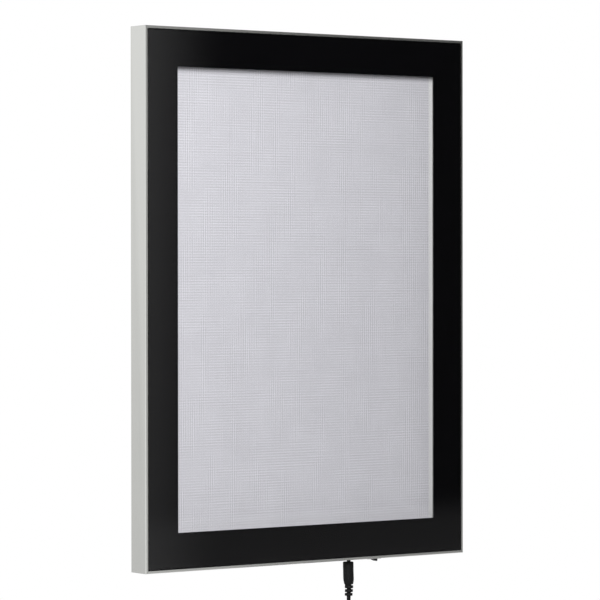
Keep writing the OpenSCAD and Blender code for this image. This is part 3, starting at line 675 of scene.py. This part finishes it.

# %% [markdown]
# ## White film with the engraved grid
# Through the front and the guide shows the white film behind them. The back of the guide is engraved
# with a fine grid that lets the light out, about 2.4 mm from line to line, so the panel looks like
# linen from a distance. It leaves a plain, lighter margin at the two sides. Towards its lower edge the
# film is painted lighter: painted light that evens out the shade falling there. Cutting the grid into
# the mesh would take millions of faces. The film touches the engraved face, so the grid is drawn on
# the film: a wave in X plus a wave in Z, with noise that makes some threads stronger, in upright
# strips, in level bands and in patches.

# %% Film finish
GRID_PITCH, GRID_HALF_W, MARGIN_OUT, MARGIN_IN = 2.4 * MM, 145.5 * MM, 2.6 * MM, 0.6 * MM
PAINTED_LIGHT_FROM, PAINTED_LIGHT_TO = -190.0 * MM, -206.0 * MM


def film_finish(name):
    material, place = finish(name)
    x, _, z = axes(place)
    turn = 2 * np.pi / GRID_PITCH
    patch = grain(place, (34.0, 10.0, 34.0), 3.0)
    strips = rise(grain(place, (70.0, 10.0, 16.0), 1.0), 0.46, 0.64)
    bands = rise(grain(place, (18.0, 10.0, 60.0), 1.0), 0.4, 0.6)
    lying_grain = grain(place, (30.0, 10.0, 420.0), 1.0) * 2.8 - 0.5
    standing_grain = grain(place, (420.0, 10.0, 30.0), 1.0) * 2.6 - 0.45
    lying = x.sum("COSINE", z * turn) * lying_grain * (0.55 + 0.8 * bands)
    standing = x.sum("COSINE", x * turn) * standing_grain * (0.4 + 1.8 * strips)
    thread = (lying + standing) * (0.5 + patch)
    inside = rise(abs(x), GRID_HALF_W + MARGIN_OUT, GRID_HALF_W - MARGIN_IN)
    shade = rise(thread * 0.18 + 0.5 + (patch - 0.5) * 0.25, 0.0, 1.0)
    lavender = blend(shade, grey(0.60, (1.0, 0.993, 1.062)), grey(0.84, (1.0, 0.993, 1.058)))
    # painted light: the film is painted lighter towards its lower edge
    painted_light = blend(shade, grey(0.80, (1.0, 0.993, 1.055)), grey(0.95, (1.0, 0.993, 1.05)))
    grid_with_painted_light = blend(rise(z, PAINTED_LIGHT_FROM, PAINTED_LIGHT_TO), lavender, painted_light)
    surface = place.node("BsdfPrincipled", sockets={
        "Base Color": blend(inside, grey(0.86, (1.0, 1.0, 1.006)), grid_with_painted_light),
        "Roughness": 0.6 - 0.1 * inside + 0.05 * patch, "Normal": relief(thread * inside, 0.00002)})
    return show(material, surface)


grid_film = film_finish("white_film_with_grid")

# %% [markdown]
# ## Black border
# The border is a thin steel sheet, painted black and pressed against the clear front, so what is
# seen is mostly the shine of the acrylic over it. The paint itself is nearly without light: a deep
# black with a faint fine speckle.

# %% Border finish
def border_finish(name):
    material, place = finish(name)
    speckle = grain(place, (2400.0, 2400.0, 2400.0), 2.0)
    cloud = grain(place, (22.0, 22.0, 22.0))
    tint = (1.0, 0.96, 1.3)
    surface = place.node("BsdfPrincipled", sockets={
        "Base Color": blend(0.5 * speckle + 0.5 * cloud, grey(0.0009, tint), grey(0.0022, tint)),
        "Roughness": 0.5 + 0.15 * speckle, "Specular IOR Level": 0.0, "Normal": relief(cloud, 0.000008)})
    return show(material, surface)


black_border = border_finish("black_border")

# %% [markdown]
# ## Moulded plastics and rubber
# Switch, socket, adapter, plug and wires are moulded. Their skin is never quite even: the tool's fine
# sparked grain breaks up the shine and broad clouds vary it. One function holds that recipe, and its
# numbers make it hard plastic, soft rubber, foam, white board or the skin of a wire.

# %% Moulded finishes
def moulded_finish(name, level, tint, rough, per_metre, depth, spread=0.3, shine=0.5):
    material, place = finish(name)
    skin = grain(place, (per_metre,) * 3, 3.0)
    cloud = grain(place, (45.0, 45.0, 45.0), 2.0)
    shade = 0.55 * skin + 0.45 * cloud
    surface = place.node("BsdfPrincipled", sockets={
        "Base Color": blend(shade, grey(level * (1 - spread), tint), grey(level * (1 + spread), tint)),
        "Roughness": rough - 0.08 + 0.1 * skin + 0.06 * cloud, "Specular IOR Level": shine,
        "Normal": relief(skin, depth)})
    return show(material, surface)


hard_black = moulded_finish("hard_black_plastic", 0.010, (1.0, 1.0, 1.05), 0.45, 2600.0, 0.00003, shine=0.3)
soft_black = moulded_finish("soft_black_rubber", 0.006, (1.0, 1.0, 1.03), 0.6, 1900.0, 0.00003, shine=0.15)
foam_board = moulded_finish("foam_board", 0.82, (1.0, 0.995, 0.97), 0.75, 700.0, 0.00006, 0.06)
board_white = moulded_finish("white_board", 0.8, (1.0, 1.0, 0.97), 0.4, 1500.0, 0.00001, 0.05)
red_wire = moulded_finish("red_wire", 0.45, (1.0, 0.09, 0.07), 0.45, 2400.0, 0.00001, 0.15)
black_wire = moulded_finish("black_wire", 0.016, (1.0, 1.0, 1.0), 0.45, 2400.0, 0.00001)
print("Moulded finishes: 6")

# %% [markdown]
# ## Back panel
# The back is a sheet of pale composite with a faint orange peel from its coating and light rub marks
# where it is handled. The marks are noise stretched one way and cut off high, so only a few show.

# %% Back panel finish
def back_finish(name):
    material, place = finish(name)
    peel = grain(place, (650.0, 650.0, 650.0), 2.0)
    cloud = grain(place, (9.0, 9.0, 9.0), 3.0)
    rubs = rise(grain(place, (40.0, 40.0, 900.0), 2.0), 0.66, 0.78)
    pale = blend(0.3 * peel + 0.7 * cloud, grey(0.62, (1.0, 1.005, 0.99)), grey(0.7, (1.0, 1.003, 0.985)))
    surface = place.node("BsdfPrincipled", sockets={
        "Base Color": blend(rubs * 0.25, pale, grey(0.5)), "Roughness": 0.42 + 0.16 * peel - 0.08 * rubs,
        "Normal": relief(peel, 0.00003)})
    return show(material, surface)


back_sheet = back_finish("coated_back_sheet")

# %% [markdown]
# ## Bare and plated metal
# Screws, keys, magnets, tags and pins are small bright parts. Turned or cut metal has fine marks one
# way and a light tarnish in clouds; the same recipe with other colours serves them all.

# %% Metal finishes
def metal_finish(name, level, tint, rough, stretch):
    material, place = finish(name)
    marks = grain(place, stretch, 3.0)
    tarnish = grain(place, (120.0, 120.0, 120.0), 3.0)
    surface = place.node("BsdfPrincipled", sockets={
        "Base Color": blend(0.5 * marks + 0.5 * tarnish, grey(level * 0.82, tint), grey(level * 1.1, tint)),
        "Metallic": 1.0, "Roughness": rough - 0.06 + 0.12 * tarnish + 0.06 * marks,
        "Normal": relief(marks, 0.000015)})
    return show(material, surface)


zinc_steel = metal_finish("zinc_steel", 0.56, (0.98, 1.0, 1.03), 0.32, (1500.0, 1500.0, 1500.0))
key_alloy = metal_finish("cast_key_alloy", 0.6, (0.99, 1.0, 1.02), 0.48, (900.0, 900.0, 900.0))
bright_plate = metal_finish("bright_plate", 0.74, (1.0, 0.985, 0.93), 0.22, (3000.0, 3000.0, 160.0))
print("Metal finishes: 3")

# %% [markdown]
# ## Plug barrel
# The barrel of the plug is plated, and a black collar of insulation covers its foot, which is the
# part seen between plug and box. One material changes from black to bright at a height.

# %% Barrel finish
COLLAR_TOP, COLLAR_SOFT = -239.9 * MM, 0.06 * MM


def barrel_finish(name):
    material, place = finish(name)
    _, _, z = axes(place)
    marks = grain(place, (300.0, 300.0, 6000.0), 2.0)
    bare = rise(z, COLLAR_TOP - COLLAR_SOFT, COLLAR_TOP + COLLAR_SOFT)
    plate = blend(marks, grey(0.62, (1.0, 0.99, 0.95)), grey(0.8, (1.0, 0.99, 0.95)))
    surface = place.node("BsdfPrincipled", sockets={
        "Base Color": blend(bare, grey(0.014), plate), "Metallic": bare,
        "Roughness": 0.5 - 0.28 * bare + 0.08 * marks, "Normal": relief(marks, 0.000008)})
    return show(material, surface)


plug_barrel = barrel_finish("barrel_with_collar")

# %% [markdown]
# ## Light chips
# Each chip is a small pale package with a yellow window of phosphor. The window is marked by the
# distance from the middle of the nearest chip, so one material serves a whole row.

# %% Chip finish
CHIP_PITCH, CHIP_END = 396.0 / 29 * MM, -198.0 * MM
WINDOW_OUT, WINDOW_IN = 1.15 * MM, 1.05 * MM


def chip_finish(name):
    material, place = finish(name)
    _, _, z = axes(place)
    beat = place.sum("FRACT", (z - CHIP_END) / CHIP_PITCH + 0.5)
    beside = abs(beat - 0.5) * CHIP_PITCH
    window = rise(beside, WINDOW_OUT, WINDOW_IN)
    dust = grain(place, (4000.0, 4000.0, 4000.0), 2.0)
    phosphor = blend(dust, grey(0.72, (1.0, 0.72, 0.1)), grey(0.9, (1.0, 0.76, 0.16)))
    surface = place.node("BsdfPrincipled", sockets={
        "Base Color": blend(window, grey(0.8, (1.0, 0.99, 0.95)), phosphor), "Roughness": 0.35 + 0.2 * dust,
        "Normal": relief(dust, 0.00001)})
    return show(material, surface)


chip_yellow = chip_finish("phosphor_chips")

# %% [markdown]
# ## Cord skin and strap weave
# The cord's skin is drawn, so its fine marks run along it and a slight wave shows where it was wound.
# The strap is woven: ribs of warp cross ribs of weft, and the loops fray a little at the edges. Both
# follow their own surface, so they read the map that the shells were given and not the room's axes.

# %% Cord and strap finishes
def cord_finish(name):
    material, place = finish(name, "UV")
    drawn = grain(place, (26.0, 900.0, 1.0), 2.0)
    wound = grain(place, (2.0, 240.0, 1.0), 2.0)
    surface = place.node("BsdfPrincipled", sockets={
        "Base Color": blend(0.5 * drawn + 0.5 * wound, grey(0.005), grey(0.012, (1.0, 1.0, 1.04))),
        "Roughness": 0.42 + 0.16 * drawn + 0.08 * wound, "Specular IOR Level": 0.2,
        "Normal": relief(drawn + wound, 0.00003)})
    return show(material, surface)


def weave_finish(name):
    material, place = finish(name, "UV")
    around, along, _ = axes(place)
    warp = place.sum("SINE", around * (2 * np.pi * 28)) * 0.5 + 0.5
    weft = place.sum("SINE", along * (2 * np.pi * 96)) * 0.5 + 0.5
    fuzz = grain(place, (160.0, 700.0, 1.0), 3.0)
    rib = (warp * weft + (1 - warp) * (1 - weft)) * 0.7 + fuzz * 0.5
    surface = place.node("BsdfPrincipled", sockets={
        "Base Color": blend(rib, grey(0.012), grey(0.045, (1.0, 1.0, 1.05))), "Roughness": 0.8 + 0.12 * fuzz,
        "Sheen Weight": 0.25, "Normal": relief(rib, 0.00018)})
    return show(material, surface)


cord_skin, strap_weave = cord_finish("drawn_cord_skin"), weave_finish("woven_strap")
print("Cord and strap finishes ready")

# %% [markdown]
# ## Dressing the pieces
# Solids that have the right form keep it and only change their material. New pieces name the body
# they move with, the slot their finish belongs to and the solids they stand for.

# %% Dress solids and new pieces
SOLID_FINISH = {
    level_rail: ["frame_top", "frame_bottom"], upright_rail: ["frame_left", "frame_right"],
    grid_film: ["reflector"], foam_board: ["backing_board"], back_sheet: ["back_panel"],
    board_white: ["led_board_left", "led_board_right"],
    chip_yellow: ["led_chips_left", "led_chips_right"], key_alloy: ["corner_keys"], zinc_steel: ["magnets"],
    hard_black: ["jack_body", "switch_housing"], soft_black: ["adapter_grommet"],
    bright_plate: ["jack_nut", "jack_contacts", "switch_terminals", "adapter_pins"],
    plug_barrel: ["plug_barrel"], red_wire: ["wire_link"], black_wire: ["wire_left", "wire_right"]}
for material, names in SOLID_FINISH.items():
    for name in names:
        for slot in nodes[name].material_slots:
            slot.material = material

NEW_PIECES = [
    (lead_cord, cord_skin, "power_lead", "black_rubber", ["lead_upper", "lead_coil", "lead_tail"]),
    (lead_strap, strap_weave, "power_lead", "strap_fabric", ["lead_tie"]),
    (plug_grip, soft_black, "power_lead", "black_rubber", ["plug_body"]),
    (rocker_cap, hard_black, "rocker", "black_moulding", ["rocker"]),
    (adapter_shell, hard_black, "power_lead", "black_moulding", ["adapter_case", "adapter_cap"]),
    (clear_front, clear_acrylic, "cover", "clear_acrylic", ["cover_pane"]),
    (border_sheet, black_border, "cover", "black_mask", ["cover_mask"]),
    (guide_plate, guide_acrylic, "frame", "light_guide_acrylic", ["light_guide"]),
    (panel_screws, zinc_steel, "frame", "zinc_steel", ["back_screws"]),
    (key_screws, zinc_steel, "frame", "zinc_steel", ["corner_screws"])]
for piece, material, body, slot, solids in NEW_PIECES:
    piece.data.materials.append(material)
    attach(piece, body)
    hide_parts(*solids)

print(len(SOLID_FINISH), "finishes on solids,", len(NEW_PIECES), "new pieces")

# %% [markdown]
# ## Studio
# The picture has a plain white ground and soft light from the upper left. Lamps in front could light
# everything, but shiny black and satin metal show the room more than the lamps. So the world is a
# simple room: pale behind the box, dark in front, with one tall pale screen to the right of the
# camera, a pale table below it, a pale flank on either hand and a pale ceiling. Only mirror rays see
# these, so they shine on the metal without filling the shadows. Camera rays see plain white.

# %% World
world = bpy.data.worlds.new("studio_room")
scene.world = world
world.use_nodes = True
world.node_tree.nodes.clear()
toward = Wire(world.node_tree).node("TexCoord", out="Generated")
x, y, z = axes(toward)
reach = x.sum("MAXIMUM", abs(y), 0.05)
side, tilt = x / reach, z / reach
behind = rise(y, 0.0, 0.3)
wall = 0.655 + 0.205 * rise(tilt, -0.13, 0.1)
screen_wide = rise(side, 0.25, 0.45) * rise(side, 0.698, 0.654) * (0.47 + 0.30 * rise(tilt, -0.12, 0.1))
screen = screen_wide * rise(tilt, -0.4, -0.2) * rise(tilt, 0.15, 0.085)
table = (0.19 * rise(tilt, -0.092, -0.102) + 0.2 * rise(tilt, -0.110, -0.120)) * rise(tilt, -0.4, -0.2)
left_flank = 0.35 * rise(side, 0.1, -0.3) + 0.5 * rise(side, -0.75, -1.0) * rise(abs(z), 0.4, 0.2)
right_flank = 0.45 * rise(side, 1.0, 1.5) * rise(abs(z), 0.6, 0.4)
left_ceiling = rise(z, 0.3, 0.8) * rise(x, 0.35, -0.1) * 0.15
front_ceiling = 0.4 * rise(tilt, 0.3, 0.55) * rise(y, -0.1, -0.35)
mirrored_ray = toward.node("LightPath", out="Is Glossy Ray")
shown = screen + table + (left_flank + right_flank) + (left_ceiling + front_ceiling)
room = (0.04 + shown * mirrored_ray) * (1 - behind) + wall * behind
seen = toward.node("LightPath", out="Is Camera Ray")
strength = room + (1 - room) * seen
light = toward.node("Background", sockets={"Color": grey(1.0), "Strength": strength})
light.node("OutputWorld", sockets={"Surface": light})

# %% [markdown]
# ## Lamp and floor
# One tall, narrow lamp in front, up on the left, lights the panel, and the border's edge throws a
# soft shadow on it. An even sky would be simpler but would leave the panel flat. A pale floor lies
# a little below the lowest piece.

# %% Lamp and floor
LAMP_AT, LAMP_AIM, LAMP_WIDE, LAMP_TALL, LAMP_WATTS = (-0.68, -1.1, 0.47), (0, 0, 0.38), 0.2, 0.52, 20.0


def soft_lamp(name, at, aim, wide, tall, watts):
    """Rectangular lamp at one place that looks at another."""
    lamp = bpy.data.objects.new(name, bpy.data.lights.new(name, "AREA"))
    lamp.data.shape, lamp.data.size, lamp.data.size_y, lamp.data.energy = "RECTANGLE", wide, tall, watts
    lamp.location = at
    lamp.rotation_euler = (Vector(aim) - Vector(at)).to_track_quat("-Z", "Y").to_euler()
    lamp.visible_camera = False
    scene.collection.objects.link(lamp)
    return lamp


key_lamp = soft_lamp("key_lamp", LAMP_AT, LAMP_AIM, LAMP_WIDE, LAMP_TALL, LAMP_WATTS)


def floor_finish(name):
    """Pale matt floor that is clear from below, so that the socket and the switch can be seen."""
    material, place = finish(name)
    cloud = grain(place, (60.0, 60.0, 60.0))
    pale = place.node("BsdfPrincipled", sockets={
        "Base Color": blend(cloud, grey(0.80), grey(0.84)), "Roughness": 0.66 + 0.08 * cloud})
    below = place.node("NewGeometry", out="Backfacing")
    clear = place.node("BsdfTransparent")
    return show(material, place.node("MixShader", sockets={0: below, 1: pale, 2: clear}))


FLOOR_Z, FLOOR_R, FLOOR_SIDES = cad_box[0][2] - 0.02, 0.8, 96
around = np.linspace(0, 2 * np.pi, FLOOR_SIDES, endpoint=False)
disc = np.stack([FLOOR_R * np.cos(around), FLOOR_R * np.sin(around), np.full(FLOOR_SIDES, FLOOR_Z)], -1)
floor_mesh = bpy.data.meshes.new("floor")
floor_mesh.from_pydata(disc.tolist(), [], [list(range(FLOOR_SIDES))])
floor = bpy.data.objects.new("floor", floor_mesh)
scene.collection.objects.link(floor)
floor.data.materials.append(floor_finish("pale_floor"))
print("Floor at", round(FLOOR_Z, 4), "lit by", key_lamp.name)
